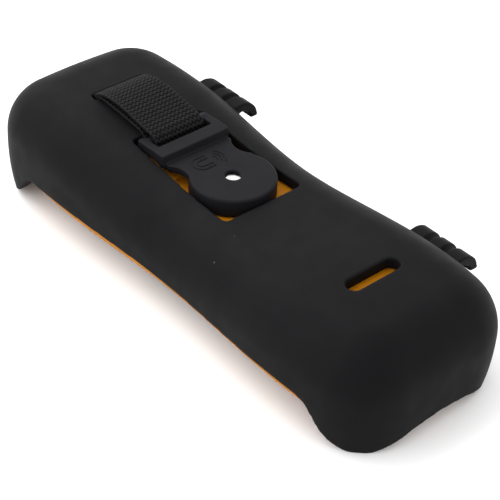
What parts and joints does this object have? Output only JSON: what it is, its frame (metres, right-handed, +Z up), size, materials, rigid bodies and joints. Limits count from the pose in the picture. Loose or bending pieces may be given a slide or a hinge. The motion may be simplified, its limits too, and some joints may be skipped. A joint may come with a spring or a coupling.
{
  "type": "digital multimeter",
  "caption": "Hand-held digital multimeter in a rubber holster with probe clips and a magnetic hanging strap, lying on its face.",
  "frame": {"origin": "on the surface it lies on, at the middle of the body in plan", "axes": "+Z up, out of the back of the meter; +Y towards the display end; +X towards the probe clips"},
  "size_m": [0.0716, 0.1776, 0.0418],
  "materials": {
    "holster_rubber": "soft matt moulded rubber",
    "amber_shell": "fine-textured amber plastic",
    "seal_rubber": "matt",
    "zinc_steel": "zinc plated",
    "panel_black": "printed, satin",
    "window_clear": "clear polished",
    "lcd_grey": "polished",
    "inner_white": "moulded",
    "zebra_rubber": "striped silicone",
    "diffuser_white": "translucent",
    "membrane_grey": "silicone",
    "spring_steel": "plated spring steel",
    "board_green": "solder mask over glass fibre",
    "tin_plate": "tin plate",
    "chip_black": "moulded epoxy",
    "resistor_blue": "lacquered",
    "copper_wire": "bare wire",
    "brass_contact": "satin",
    "fuse_ceramic": "glazed ceramic",
    "tray_black": "moulded",
    "cell_wrap": "printed wrap, plain",
    "jack_plate": "plated",
    "webbing": "woven nylon",
    "tab_plastic": "fine moulded satin",
    "magnet_nickel": "nickel plated",
    "knob_black": "moulded",
    "button_grey": "soft touch"
  },
  "bodies": {
    "meter": {"rear_case": "amber_shell", "front_case": "amber_shell", "case_gasket": "seal_rubber", "case_screws": "zinc_steel", "battery_cover": "amber_shell", "battery_cover_screws": "zinc_steel", "front_panel": "panel_black", "lcd_window": "window_clear", "lcd_glass": "lcd_grey", "lcd_frame": "inner_white", "zebra_strips": "zebra_rubber", "backlight_panel": "diffuser_white", "keypad_membrane": "membrane_grey", "dome_switches": "spring_steel", "circuit_board": "board_green", "pcb_screws": "zinc_steel", "shield_can": "tin_plate", "measuring_chip": "chip_black", "piezo_buzzer": "chip_black", "input_resistors": "resistor_blue", "current_shunt": "copper_wire", "fuse_clips": "brass_contact", "high_current_fuse": "fuse_ceramic", "low_current_fuse": "fuse_ceramic", "battery_tray": "tray_black", "battery_cell_left": "cell_wrap", "battery_cell_right": "cell_wrap", "battery_springs": "spring_steel", "battery_contacts": "spring_steel", "current_jack": "jack_plate", "common_jack": "jack_plate", "volt_jack": "jack_plate"},
    "holster": {"holster": "holster_rubber", "strap_tail": "webbing", "strap_anchor": "zinc_steel"},
    "strap": {"strap_webbing": "webbing"},
    "tab": {"tab_body": "tab_plastic", "tab_magnet": "magnet_nickel", "magnet_cover": "tab_plastic"},
    "selector": {"selector_knob": "knob_black", "selector_rotor": "inner_white", "detent_spring": "spring_steel", "wiper_contacts": "brass_contact"},
    "light_button": {"light_button": "button_grey"},
    "min_max_button": {"min_max_button": "button_grey"},
    "range_button": {"range_button": "button_grey"},
    "hold_button": {"hold_button": "button_grey"}
  },
  "joints": [
    {"name": "holster_slide", "type": "slide", "parent": "meter", "child": "holster", "axis": [0, 0, 1], "range_m": [0, 0.06]},
    {"name": "strap_hinge", "type": "hinge", "parent": "holster", "child": "strap", "pos_m": [0, 0.0586, 0.038], "axis": [-1, 0, 0], "range_deg": [0, 100]},
    {"name": "tab_hinge", "type": "hinge", "parent": "strap", "child": "tab", "pos_m": [0, 0.0304, 0.0358], "axis": [-1, 0, 0], "range_deg": [0, 90]},
    {"name": "selector_turn", "type": "hinge", "parent": "meter", "child": "selector", "pos_m": [0, -0.012, 0.004], "axis": [0, 0, 1], "range_deg": [0, 210]},
    {"name": "light_button_press", "type": "slide", "parent": "meter", "child": "light_button", "axis": [0, 0, 1], "range_m": [0, 0.0007], "stiffness_N_per_m": 900},
    {"name": "min_max_button_press", "type": "slide", "parent": "meter", "child": "min_max_button", "axis": [0, 0, 1], "range_m": [0, 0.0007], "stiffness_N_per_m": 900},
    {"name": "range_button_press", "type": "slide", "parent": "meter", "child": "range_button", "axis": [0, 0, 1], "range_m": [0, 0.0007], "stiffness_N_per_m": 900},
    {"name": "hold_button_press", "type": "slide", "parent": "meter", "child": "hold_button", "axis": [0, 0, 1], "range_m": [0, 0.0007], "stiffness_N_per_m": 900}
  ]
}
